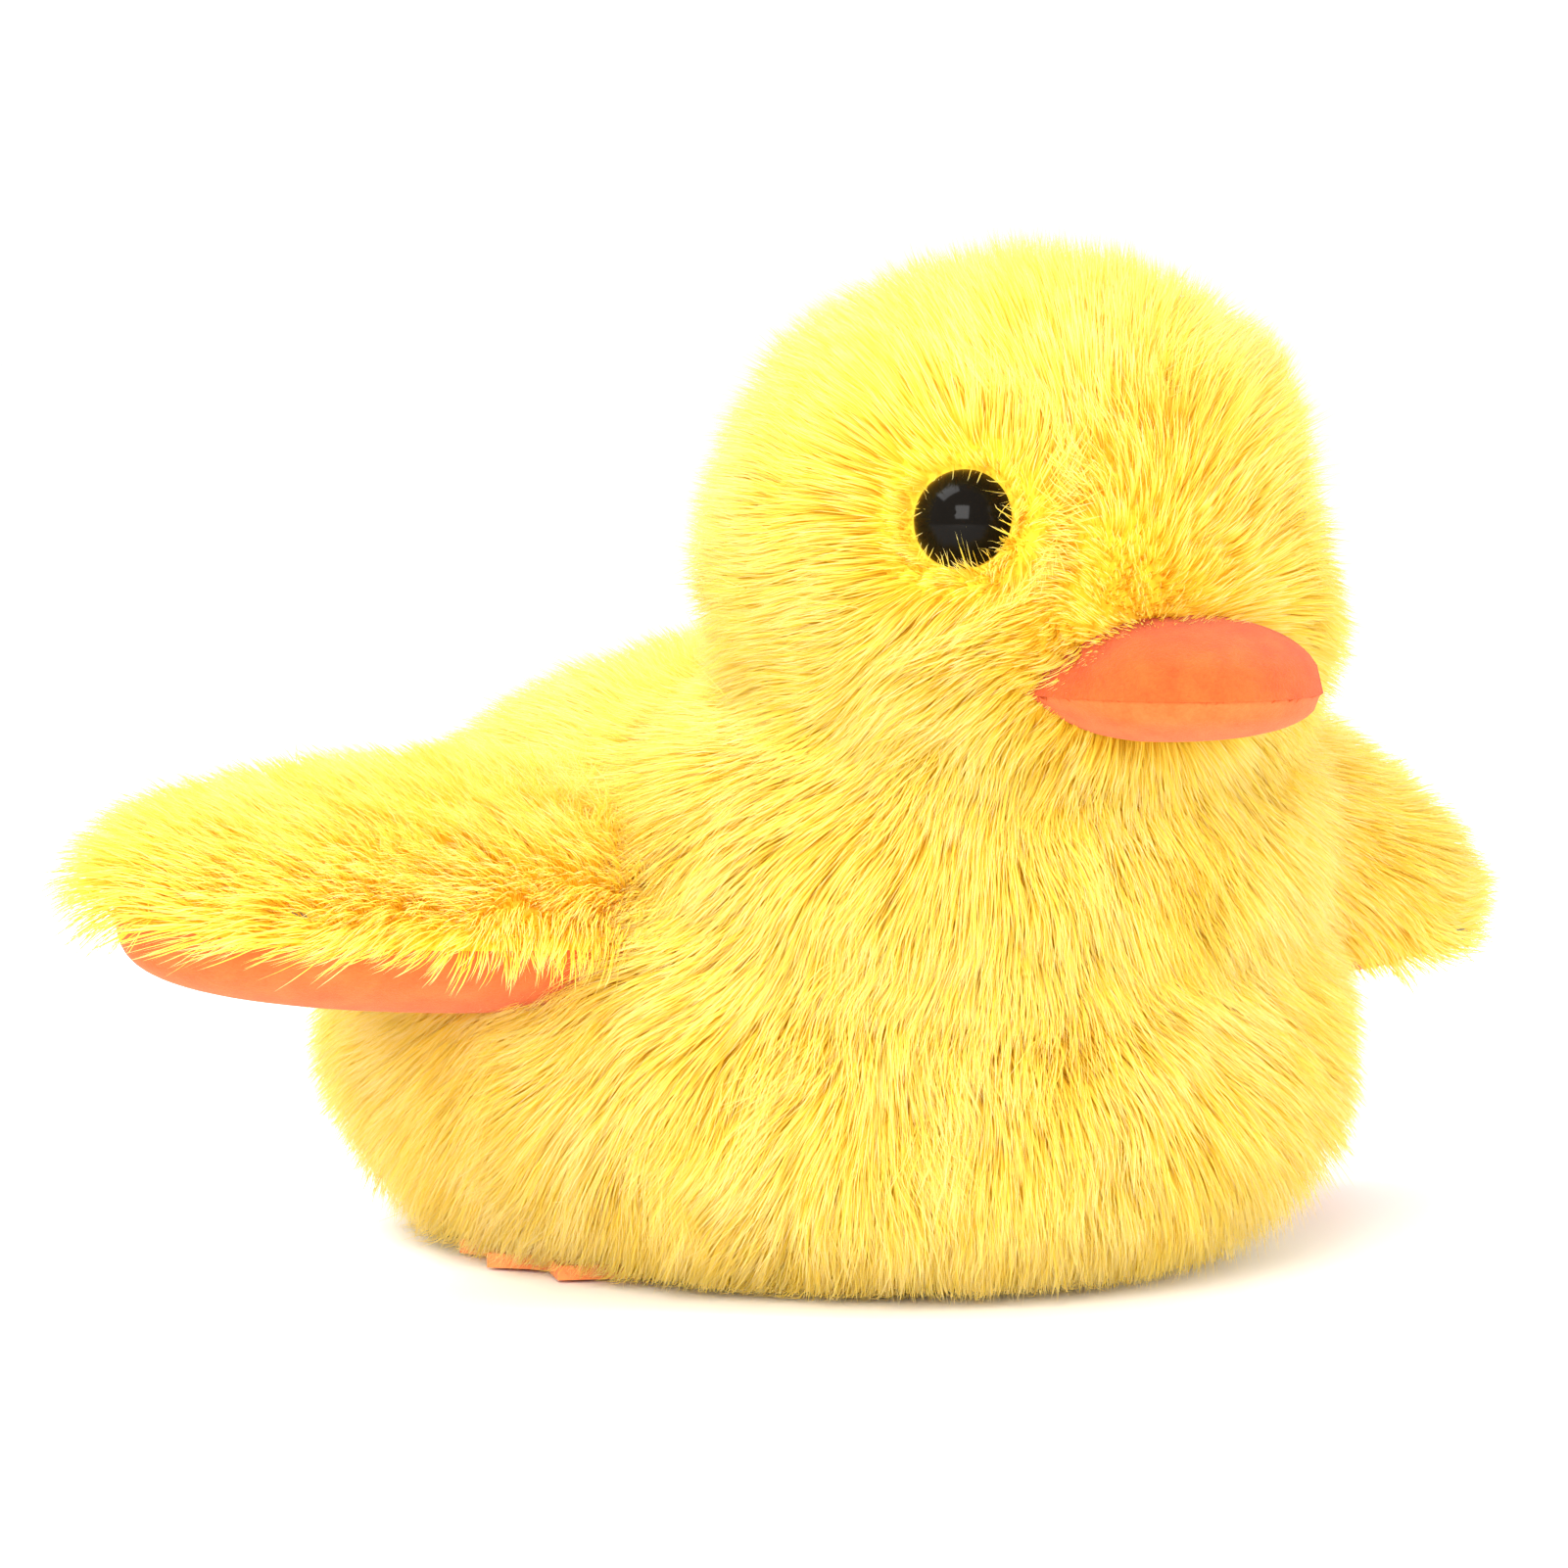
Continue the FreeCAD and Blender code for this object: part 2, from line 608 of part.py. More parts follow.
def make_lifter():
    """A window around the cam, a stem to the hop foot and a crossbar over the wing levers."""
    y, z = CRANK
    half = size("lifter_thick") / 2
    wall = size("lifter_wall")
    reach = size("cam_throw") + size("cam_radius") + size("lifter_gap")
    window = (y - reach, z - reach, y + reach, z + reach + STROKE)
    bar_low = size("wing_pivot_high") + size("lever_radius") + 0.4
    outer = box("lifter_outer", (-half, window[0] - wall, window[1] - wall),
                (half, window[2] + wall, window[3] + wall))
    inner = box("lifter_inner", (-half, window[0], window[1]), (half, window[2], window[3]))
    frame = cut("lifter_frame", outer, inner)
    foot_top = size("foot_lift") + size("foot_thick")
    stem = box("lifter_stem", (-half, y - 2.5, foot_top + 0.4), (half, y + 2.5, window[1] - wall))
    web = box("lifter_web", (-half, y - 3.0, window[3] + wall), (half, y + 3.0, bar_low + 1.8))
    bar = box("lifter_bar", (-5.5, y - 3.0, bar_low), (5.5, y + 3.0, bar_low + 1.8))
    node(fuse("lifter", frame, stem, web, bar), "lifter")


def make_wing_brackets():
    """Two cheeks on top of the gear plates, and the two pins that the wings hinge on."""
    pivot_out, high = size("wing_pivot_out"), size("wing_pivot_high")
    for label, low_y in (("front_wing_bracket", CRANK[0] - 9.0), ("rear_wing_bracket", CRANK[0] + 7.8)):
        cheek = box(f"{label}_cheek", (-17.0, low_y, size("plate_top")), (17.0, low_y + 1.2, 37.5))
        holes = [cylinder(f"{label}_hole_{name}", at(side * pivot_out, low_y - 1.0, high, ALONG_Y),
                          "wing_pin_radius", "4") for name, side in SIDES.items()]
        node(cut(label, cheek, *holes), label)
    for name, side in SIDES.items():
        pin = cylinder(f"{name}_wing_pin", at(side * pivot_out, CRANK[0] - 9.4, high, ALONG_Y),
                       "wing_pin_radius", "18.8")
        node(pin, f"{name}_wing_pin")


def make_wing_arm(name, side):
    """Lever, hub, bar and paddle in one moulded piece."""
    pivot_out, high = size("wing_pivot_out"), size("wing_pivot_high")
    y, lever, thick = CRANK[0], size("lever_length"), size("lever_radius")
    low_x, high_x = sorted((side * (pivot_out - lever), side * pivot_out))
    bar = box(f"{name}_lever_bar", (low_x, y - 1.6, high - thick), (high_x, y + 1.6, high + thick))
    tip = cylinder(f"{name}_lever_tip", at(side * (pivot_out - lever), y - 1.6, high, ALONG_Y),
                   "lever_radius", "3.2")
    hub_place = at(side * pivot_out, y - 4.0, high, ALONG_Y)
    hub = cylinder(f"{name}_hub", hub_place, "hub_radius", "8")
    frame = wing_frame(name)
    outer = wing_block(f"{name}_arm_bar", frame, side, (0.5, 32.0), (-3.0, 3.0), (-3.2, -1.0))
    paddle = wing_block(f"{name}_paddle", frame, side, (26.0, 46.0), (-2.0, 15.0), (-4.1, -2.9))
    blank = fuse(f"{name}_arm_blank", bar, tip, hub, outer, paddle)
    bore = cylinder(f"{name}_arm_bore", hub_place, "wing_pin_radius + running_gap", "8")
    return cut(f"{name}_wing_arm", blank, bore)


def wing_block(name, frame, side, span, chord, level):
    """A block in a wing's frame, given outwards from the hinge."""
    low_x, high_x = sorted((side * span[0], side * span[1]))
    block = box(name, (low_x, chord[0], level[0]), (high_x, chord[1], level[1]))
    block.Placement = frame * block.Placement
    return block


def make_wing(name, side):
    """Fur top, felt underside and wadding around the arm's paddle."""
    arm = make_wing_arm(name, side)
    node(arm, f"{name}_wing_arm")
    place = wing_frame(name) * at(side * size("wing_out"), size("wing_back"), -size("wing_sink"))
    skin = ("wing_reach - wing_skin", "wing_chord - wing_skin", "wing_lens - wing_skin")
    full = ("wing_reach", "wing_chord", "wing_lens")
    for label, is_upper in (("fur", True), ("felt", False)):
        outer = half_lens(f"{name}_{label}_outer", place, *full, is_upper)
        inner = half_lens(f"{name}_{label}_inner", place, *skin, is_upper)
        flank = body_egg(f"{name}_{label}_flank", "-0.6")
        node(cut(f"{name}_wing_{label}", outer, inner, flank, arm), f"{name}_wing_{label}")
    filling = egg(f"{name}_filling", place, skin[0], skin[1], skin[2], skin[2])
    flank = body_egg(f"{name}_filling_flank", "-0.6")
    node(cut(f"{name}_wing_wadding", filling, flank, arm), f"{name}_wing_wadding")


def make_grommet():
    """The ring that lines the shaft's hole in the cover."""
    place = at(37.0, *ARBOR, ALONG_X)
    ring = cylinder("grommet_ring", place, "shaft_tunnel", "3.6")
    bore = cylinder("grommet_bore", place, "arbor_radius + 0.4", "3.6")
    node(cut("shaft_grommet", ring, bore), "shaft_grommet")


def check_and_write():
    doc.recompute()
    for obj in doc.Objects:
        if {"Invalid", "Error"} & set(obj.State):
            raise RuntimeError(f"{obj.Name} failed: {obj.State}")
    os.makedirs("parts", exist_ok=True)
    for obj in nodes:
        shape = obj.Shape
        if shape.isNull() or not shape.isValid() or not shape.Solids:
            raise RuntimeError(f"{obj.Label} has no valid solid")
        shape.exportStep(f"parts/{obj.Label}.step")
        print(f"{obj.Label:24s} solids {len(shape.Solids)} volume {shape.Volume:10.2f}")


make_body_cover()
make_body_stuffing()
make_head_cover()
make_head_stuffing()
make_bill()
for eye_name, eye_side in SIDES.items():
    make_eye(eye_name, eye_side)
make_base_plate()
make_hop_foot()
make_gear_plate("left", size("plate_inner"))
make_gear_plate("right", -PLATE_OUTER)
make_posts()
make_mainspring()
make_winding_train()
make_crank_train()
make_escape_train()
make_governor()
make_lifter()
make_wing_brackets()
for wing_name, wing_side in SIDES.items():
    make_wing(wing_name, wing_side)
make_grommet()
check_and_write()
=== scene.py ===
"""Looks of the plush duckling: long-pile fur, felt wings, a fleece bill and glossy eyes.

Everything is placed in the CAD frame: +Z up, the duckling looks along -Y, its left side is +X.
Sizes and places are in millimetres here, and MM turns them into the scene's metres.
"""
import json
import math

import bpy
import numpy as np
from mathutils.kdtree import KDTree
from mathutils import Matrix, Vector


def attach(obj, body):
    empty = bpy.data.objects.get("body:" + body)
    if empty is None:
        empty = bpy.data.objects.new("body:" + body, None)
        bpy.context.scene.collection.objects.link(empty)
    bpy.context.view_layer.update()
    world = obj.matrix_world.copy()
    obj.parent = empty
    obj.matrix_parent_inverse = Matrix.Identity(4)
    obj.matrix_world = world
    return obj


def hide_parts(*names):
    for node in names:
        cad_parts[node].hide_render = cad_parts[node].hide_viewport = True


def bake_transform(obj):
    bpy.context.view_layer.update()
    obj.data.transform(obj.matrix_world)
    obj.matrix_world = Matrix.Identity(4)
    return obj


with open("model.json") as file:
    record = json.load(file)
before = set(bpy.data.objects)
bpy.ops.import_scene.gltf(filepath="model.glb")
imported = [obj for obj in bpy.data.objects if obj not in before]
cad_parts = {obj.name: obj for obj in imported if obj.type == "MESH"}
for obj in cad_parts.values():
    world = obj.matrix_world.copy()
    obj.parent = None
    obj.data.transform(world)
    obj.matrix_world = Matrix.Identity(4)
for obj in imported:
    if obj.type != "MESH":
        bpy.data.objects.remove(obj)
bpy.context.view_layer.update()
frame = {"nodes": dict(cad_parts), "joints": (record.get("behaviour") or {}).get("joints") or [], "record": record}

MM = 0.001
SIDES = {"left": 1.0, "right": -1.0}

# ------------------------------------------------------------------ the duckling's shape, in mm
BODY_CENTRE = np.array([0.0, 8.0, 18.0])
BODY_RADII = np.array([36.6, 44.8, 29.6])      # of the skin under the pile; the upper half
BODY_DROP = 20.0                               # the lower half's height radius
HEAD_CENTRE = np.array([0.0, -21.0, 60.0])
HEAD_RADII = np.array([22.5, 22.7, 21.3])
NECK_CENTRE = np.array([0.0, -15.0, 37.5])
NECK_RADII = np.array([25.5, 21.0, 16.0])
HEM_HEIGHT = 2.2                               # the fabric ends this far above the ground
EYE_TURN, EYE_RISE = math.radians(49.0), math.radians(12.0)
EYE_RADIUS = 4.0
EYE_SEAT = 20.6                                # from the middle of the head to the middle of an eye
BILL_CENTRE = np.array([0.0, -39.0, 50.5])
BILL_RADII = np.array([12.4, 15.4])
BILL_RISE, BILL_DROP = 6.2, 4.0

# wings, in their own frame: x outwards from the hinge, y backwards, z up
WING_TILT = math.radians(12.0)
WING_DROOP = {"left": math.radians(9.0), "right": math.radians(-1.5)}
WING_ARCH = {"left": 12.0, "right": 0.5}       # how much the root is padded up towards the shoulder
WING_SAG = {"left": 0.0, "right": 1.0}         # how far the soft tip hangs below the arm's line
WING_CENTRE_Y = 8.0
WING_SINK = 4.5
WING_ROOT_X = 12.0
WING_WIDE_X = 18.0
WING_TIP_X = {"left": 47.0, "right": 56.0}
WING_CHORD = 17.0
WING_TOP = {"left": 6.5, "right": 5.0}
WING_BOTTOM = {"left": 6.0, "right": 9.6}
WING_ARCH_LENGTH = 44.0                        # how far out from the root that padding reaches
WING_MIDDLE_X = 30.0

# the pile: lengths in mm, and leans in degrees away from upright
PILE_PER_MM2 = 14.0
BODY_PILE, HEAD_PILE, HEM_EXTRA = 9.0, 7.0, 2.0
BODY_LEAN, HEAD_LEAN = 52.0, 36.0
WING_PILE, WING_EDGE_SHORTER = 8.0, 1.8
WING_LEAN, WING_EDGE_LEAN = 56.0, 14.0
NAP_PER_MM2, NAP_LENGTH, NAP_LEAN, NAP_WIDTH = 26.0, 0.8, 48.0, 0.07
NAPE = np.array([0.0, -24.0, 72.0])            # the body's pile runs away from here
BROW = np.array([0.0, -42.0, 53.0])            # and the head's pile from here
GROUND_GAP = 0.4                               # no strand comes closer to the ground


def unit(vectors):
    """The vectors at length 1."""
    return vectors / np.maximum(np.linalg.norm(vectors, axis=-1, keepdims=True), 1e-9)


def rotation(axis, angle):
    """3x3 matrix that turns by the right-hand rule about x or y."""
    c, s = math.cos(angle), math.sin(angle)
    if axis == "x":
        return np.array([[1, 0, 0], [0, c, -s], [0, s, c]])
    return np.array([[c, 0, s], [0, 1, 0], [-s, 0, c]])


def joint_place(name):
    """The joint's point, in mm."""
    joint = next(j for j in frame["joints"] if j["name"] == name)
    return np.array(joint["pos_m"]) / MM


def wing_to_world(side_name, points):
    """Moves points from a wing's own frame to the object's, in mm."""
    side = SIDES[side_name]
    turn = rotation("y", side * WING_DROOP[side_name]) @ rotation("x", WING_TILT)
    mirrored = points * np.array([side, 1.0, 1.0])
    return mirrored @ turn.T + joint_place(f"{side_name}_wing_flap")


def eye_direction(side):
    """From the middle of the head towards one eye."""
    return np.array([side * math.sin(EYE_TURN) * math.cos(EYE_RISE),
                     -math.cos(EYE_TURN) * math.cos(EYE_RISE), math.sin(EYE_RISE)])


def eye_centre(side):
    """The middle of one eye, in mm."""
    return HEAD_CENTRE + EYE_SEAT * eye_direction(side)


# ------------------------------------------------------------------ mesh helpers

def new_mesh(name, vertices_mm, faces):
    """A smooth-shaded piece from points in mm and lists of point numbers."""
    mesh = bpy.data.meshes.new(name)
    mesh.from_pydata((np.asarray(vertices_mm) * MM).tolist(), [], faces)
    mesh.polygons.foreach_set("use_smooth", [True] * len(mesh.polygons))
    mesh.update()
    piece = bpy.data.objects.new(name, mesh)
    bpy.context.scene.collection.objects.link(piece)
    return piece


def grid_faces(rows, columns, closed=False):
    """Quads over a grid of points; closed joins the last column to the first."""
    faces = []
    for row in range(rows - 1):
        for column in range(columns if closed else columns - 1):
            after = (column + 1) % columns
            faces.append((row * columns + column, row * columns + after,
                          (row + 1) * columns + after, (row + 1) * columns + column))
    return faces


def bake_modifiers(piece):
    """Applies the piece's modifiers to its mesh."""
    depsgraph = bpy.context.evaluated_depsgraph_get()
    mesh = bpy.data.meshes.new_from_object(piece.evaluated_get(depsgraph))
    piece.modifiers.clear()
    piece.data = mesh
    mesh.polygons.foreach_set("use_smooth", [True] * len(mesh.polygons))


def triangles(piece):
    """Corner positions (mm) and vertex normals of the piece's triangles."""
    mesh = piece.data
    mesh.calc_loop_triangles()
    corners = np.empty(len(mesh.loop_triangles) * 3, int)
    mesh.loop_triangles.foreach_get("vertices", corners)
    places = np.empty(len(mesh.vertices) * 3)
    mesh.vertices.foreach_get("co", places)
    normals = np.empty(len(mesh.vertices) * 3)
    mesh.vertices.foreach_get("normal", normals)
    corners = corners.reshape(-1, 3)
    return places.reshape(-1, 3)[corners] / MM, normals.reshape(-1, 3)[corners]


def scatter(piece, per_mm2, rng):
    """Random points on the piece's faces, with the normals there."""
    corners, normals = triangles(piece)
    crosses = np.cross(corners[:, 1] - corners[:, 0], corners[:, 2] - corners[:, 0])
    areas = np.linalg.norm(crosses, axis=1) / 2
    count = int(areas.sum() * per_mm2)
    picks = rng.choice(len(areas), size=count, p=areas / areas.sum())
    a, b = rng.random(count), rng.random(count)
    fold = a + b > 1
    a[fold], b[fold] = 1 - a[fold], 1 - b[fold]
    weights = np.stack([1 - a - b, a, b], axis=1)[:, :, None]
    return (corners[picks] * weights).sum(1), unit((normals[picks] * weights).sum(1))


def soft_noise(points, scale_mm, seed):
    """Smooth random vectors, about -1 to 1, that change over scale_mm."""
    rng = np.random.default_rng(seed)
    total = np.zeros((len(points), 3))
    for _ in range(6):
        wave = rng.normal(size=(3, 3)) / scale_mm
        shift = rng.random(3) * 2 * math.pi
        total += np.sin(points @ wave.T * 2.2 + shift)
    return total / 2.5


# ------------------------------------------------------------------ materials

def new_material(name):
    """A node material, with its nodes and links."""
    material = bpy.data.materials.new(name)
    material.use_nodes = True
    return material, material.node_tree.nodes, material.node_tree.links


def add_node(nodes, kind, **inputs):
    """A node with the named inputs set."""
    node = nodes.new(kind)
    for key, value in inputs.items():
        node.inputs[key.replace("_", " ")].default_value = value
    return node


def ramp(nodes, stops):
    """A colour ramp through (position, colour) stops."""
    node = nodes.new("ShaderNodeValToRGB")
    elements = node.color_ramp.elements
    while len(elements) < len(stops):
        elements.new(0.5)
    for element, (position, colour) in zip(elements, stops):
        element.position = position
        element.color = (*colour, 1.0)
    return node


def fur_material(name, stops):
    """Fibres: deeper colour at the root as painted shade inside the pile, paler at the tip as painted light, half
    see-through to light.
    """
    material, nodes, links = new_material(name)
    shader = nodes["Principled BSDF"]
    shader.inputs["Roughness"].default_value = 0.6
    shader.inputs["Specular IOR Level"].default_value = 0.2
    shader.inputs["Sheen Weight"].default_value = 0.1
    along = nodes.new("ShaderNodeAttribute")
    along.attribute_name = "along"
    tone = nodes.new("ShaderNodeAttribute")
    tone.attribute_name = "tone"
    colours = ramp(nodes, stops)
    add = nodes.new("ShaderNodeMath")
    add.operation = "ADD"
    add.use_clamp = True
    links.new(along.outputs["Fac"], add.inputs[0])
    links.new(tone.outputs["Fac"], add.inputs[1])
    links.new(add.outputs[0], colours.inputs["Fac"])
    links.new(colours.outputs["Color"], shader.inputs["Base Color"])
    glow = nodes.new("ShaderNodeBsdfTranslucent")
    links.new(colours.outputs["Color"], glow.inputs["Color"])
    mix = nodes.new("ShaderNodeMixShader")
    mix.inputs[0].default_value = 0.5
    links.new(shader.outputs[0], mix.inputs[1])
    links.new(glow.outputs[0], mix.inputs[2])
    links.new(mix.outputs[0], nodes["Material Output"].inputs["Surface"])
    return material


def cloth_material(name, dark, light, grain_mm, bump):
    """Short-nap cloth: mottled colour, fine fibres in the bump, and sheen."""
    material, nodes, links = new_material(name)
    shader = nodes["Principled BSDF"]
    shader.inputs["Roughness"].default_value = 0.9
    shader.inputs["Sheen Weight"].default_value = 0.1
    shader.inputs["Sheen Roughness"].default_value = 0.5
    shader.inputs["Specular IOR Level"].default_value = 0.2
    place = nodes.new("ShaderNodeTexCoord")
    fine = add_node(nodes, "ShaderNodeTexNoise", Scale=1.0 / (grain_mm * MM), Detail=8.0, Roughness=0.7)
    broad = add_node(nodes, "ShaderNodeTexNoise", Scale=0.12 / (grain_mm * MM), Detail=3.0)
    links.new(place.outputs["Object"], fine.inputs["Vector"])
    links.new(place.outputs["Object"], broad.inputs["Vector"])
    both = nodes.new("ShaderNodeMath")
    both.operation = "MULTIPLY_ADD"
    both.inputs[1].default_value = 0.5
    links.new(fine.outputs["Fac"], both.inputs[0])
    half = nodes.new("ShaderNodeMath")
    half.operation = "MULTIPLY"
    half.inputs[1].default_value = 0.5
    links.new(broad.outputs["Fac"], half.inputs[0])
    links.new(half.outputs[0], both.inputs[2])
    colours = ramp(nodes, [(0.36, dark), (0.64, light)])
    links.new(both.outputs[0], colours.inputs["Fac"])
    links.new(colours.outputs["Color"], shader.inputs["Base Color"])
    rough = add_node(nodes, "ShaderNodeBump", Strength=bump, Distance=0.25 * MM)
    links.new(fine.outputs["Fac"], rough.inputs["Height"])
    links.new(rough.outputs["Normal"], shader.inputs["Normal"])
    return material


def hard_material(name, colour, roughness, metallic=0.0, ior=1.45, grain_mm=0.6, bump=0.15):
    """Moulded plastic or metal: faint colour drift, fine surface grain."""
    material, nodes, links = new_material(name)
    shader = nodes["Principled BSDF"]
    shader.inputs["Metallic"].default_value = metallic
    shader.inputs["IOR"].default_value = ior
    place = nodes.new("ShaderNodeTexCoord")
    noise = add_node(nodes, "ShaderNodeTexNoise", Scale=1.0 / (grain_mm * MM), Detail=5.0)
    links.new(place.outputs["Object"], noise.inputs["Vector"])
    darker = tuple(0.86 * c for c in colour)
    colours = ramp(nodes, [(0.3, darker), (0.7, colour)])
    links.new(noise.outputs["Fac"], colours.inputs["Fac"])
    links.new(colours.outputs["Color"], shader.inputs["Base Color"])
    spread = nodes.new("ShaderNodeMapRange")
    spread.inputs["To Min"].default_value = roughness * 0.85
    spread.inputs["To Max"].default_value = min(1.0, roughness * 1.15)
    links.new(noise.outputs["Fac"], spread.inputs["Value"])
    links.new(spread.outputs[0], shader.inputs["Roughness"])
    rough = add_node(nodes, "ShaderNodeBump", Strength=bump, Distance=0.05 * MM)
    links.new(noise.outputs["Fac"], rough.inputs["Height"])
    links.new(rough.outputs["Normal"], shader.inputs["Normal"])
    return material


# colours along a strand, from the root at 0 to the tip at 1; the deeper roots are painted shade inside the pile
# and the paler tips are painted light
YELLOW = [(0.0, (1.0, 0.65, 0.03)), (0.3, (1.0, 0.72, 0.05)),
          (0.7, (1.0, 0.79, 0.13)), (1.0, (1.0, 0.85, 0.37))]
ORANGE = [(0.0, (0.54, 0.075, 0.008)), (1.0, (0.68, 0.13, 0.025))]

MATERIALS = {
    "yellow_fur": fur_material("yellow_pile", YELLOW),
    "orange_nap": fur_material("orange_nap", ORANGE),
    "fur_backing": cloth_material("fur_backing", (0.95, 0.60, 0.03), (1.0, 0.70, 0.05), 0.5, 0.6),
    "orange_felt": cloth_material("orange_felt", (0.56, 0.09, 0.012), (0.70, 0.14, 0.024), 0.35, 0.5),
    "pale_fleece": cloth_material("pale_fleece", (0.54, 0.09, 0.014), (0.68, 0.14, 0.03), 0.3, 0.5),
    "orange_fleece": cloth_material("orange_fleece", (0.46, 0.06, 0.007), (0.60, 0.10, 0.014), 0.3, 0.8),
    "polyester_wadding": cloth_material("polyester_wadding", (0.8, 0.8, 0.78), (0.95, 0.95, 0.93), 0.8, 1.0),
    "black_eye": hard_material("black_eye", (0.004, 0.003, 0.002), 0.1, ior=1.16, bump=0.01),
    "white_plastic": hard_material("white_plastic", (0.82, 0.81, 0.78), 0.45),
    "orange_plastic": hard_material("orange_plastic", (0.92, 0.25, 0.06), 0.42),
    "grey_plastic": hard_material("grey_plastic", (0.22, 0.24, 0.27), 0.45),
    "gear_plastic": hard_material("gear_plastic", (0.86, 0.80, 0.62), 0.38),
    "steel": hard_material("steel", (0.62, 0.62, 0.64), 0.28, metallic=1.0, grain_mm=0.15, bump=0.05),
    "spring_steel": hard_material("spring_steel", (0.20, 0.22, 0.30), 0.3, metallic=1.0, grain_mm=0.2),
}


def dress_nodes():
    """Every CAD node gets the procedural material of its slot."""
    slots = {part["node"]: part["material_slot"] for part in frame["record"]["subparts"]}
    for name, piece in frame["nodes"].items():
        material = MATERIALS[slots[name]]
        if not piece.material_slots:
            piece.data.materials.append(material)
        for slot in piece.material_slots:
            slot.material = material


# ------------------------------------------------------------------ skins under the fur

EGG_ROWS, EGG_COLUMNS = 64, 96


def egg_points(centre, radii, drop):
    """Points of a closed egg; the lower half has its own height radius."""
    points = []
    for row in range(EGG_ROWS):
        rise = math.pi * (row / (EGG_ROWS - 1) - 0.5)
        height = math.sin(rise) * (radii[2] if rise > 0 else drop)
        ring = max(math.cos(rise), 0.002)
        for column in range(EGG_COLUMNS):
            turn = 2 * math.pi * column / EGG_COLUMNS
            points.append(centre + np.array([radii[0] * ring * math.cos(turn),
                                             radii[1] * ring * math.sin(turn), height]))
    return points


def sink_socket(places, side):
    """Pulls the fabric in round one eye, so that the eye's rim sits in a shallow hollow."""
    outward = eye_direction(side)
    from_head = places - HEAD_CENTRE
    height = from_head @ outward
    off_axis = np.linalg.norm(from_head - height[:, None] * outward, axis=1)
    ceiling = EYE_SEAT - 0.3 + np.maximum(off_axis - EYE_RADIUS - 0.4, 0.0) * 0.75
    return places - np.maximum(height - ceiling, 0.0)[:, None] * outward


def make_skin():
    """The fabric of body and head in one, drawn in at the neck and flat under the hem."""
    body = egg_points(BODY_CENTRE, BODY_RADII, BODY_DROP)
    head = egg_points(HEAD_CENTRE, HEAD_RADII, HEAD_RADII[2])
    neck = egg_points(NECK_CENTRE, NECK_RADII, NECK_RADII[2])
    faces = []
    one_egg = grid_faces(EGG_ROWS, EGG_COLUMNS, closed=True)
    for first in (0, len(body), len(body) + len(head)):
        faces += [tuple(i + first for i in face) for face in one_egg]
    skin = new_mesh("body_and_head_skin", body + head + neck, faces)
    remesh = skin.modifiers.new("join", "REMESH")
    remesh.mode = "VOXEL"
    remesh.voxel_size = 1.3 * MM
    relax = skin.modifiers.new("relax", "SMOOTH")
    relax.factor = 0.5
    relax.iterations = 60
    bake_modifiers(skin)
    places = np.empty(len(skin.data.vertices) * 3)
    skin.data.vertices.foreach_get("co", places)
    places = places.reshape(-1, 3) / MM
    places += soft_noise(places, 16.0, 11) * 0.35
    places[:, 2] = np.maximum(places[:, 2], HEM_HEIGHT)
    for side in SIDES.values():
        places = sink_socket(places, side)
    skin.data.vertices.foreach_set("co", (places * MM).ravel())
    skin.data.update()
    return skin


def wing_outline(x, tip_x):
    """Half the chord at a distance out from the hinge."""
    share = np.clip((x - WING_WIDE_X) / (tip_x - WING_WIDE_X), 0.0, 1.0)
    return WING_CHORD * np.sqrt(np.maximum(1.0 - share ** 1.9, 0.0))


def wing_sheet(side_name, name, depth, rows=44, columns=40):
    """One half of a wing's pillow: depth above (or below) the seam, bulging between the edges."""
    points = []
    tip_x = WING_TIP_X[side_name]
    for row in range(rows):
        share = math.sin(row / (rows - 1) * math.pi / 2)
        x = WING_ROOT_X + (tip_x - WING_ROOT_X) * share
        chord = max(float(wing_outline(x, tip_x)), 0.05)
        near_root = max(0.0, 1.0 - (x - WING_ROOT_X) / WING_ARCH_LENGTH)
        arch = WING_ARCH[side_name] * near_root if depth > 0 else 0.0
        sag = WING_SAG[side_name] * share ** 2
        for column in range(columns):
            across = -math.cos(math.pi * column / (columns - 1))
            crown = (1.0 - across ** 2) ** 0.62 * (chord / WING_CHORD) ** 0.6
            points.append((x, WING_CENTRE_Y + chord * across, -WING_SINK - sag + (depth + arch) * crown))
    world = wing_to_world(side_name, np.array(points))
    faces = grid_faces(rows, columns)
    if (SIDES[side_name] > 0) == (depth > 0):
        faces = [face[::-1] for face in faces]
    return new_mesh(name, world, faces)


# ------------------------------------------------------------------ fur

STEPS = 4                  # pieces along one strand
WIDTHS = (1.0, 0.95, 0.8, 0.5)
MAX_STRANDS = 26000        # per piece, which keeps each under the export's face limit
SOFT_SHADE = 0.85          # how far strands are shaded like the surface they grow from


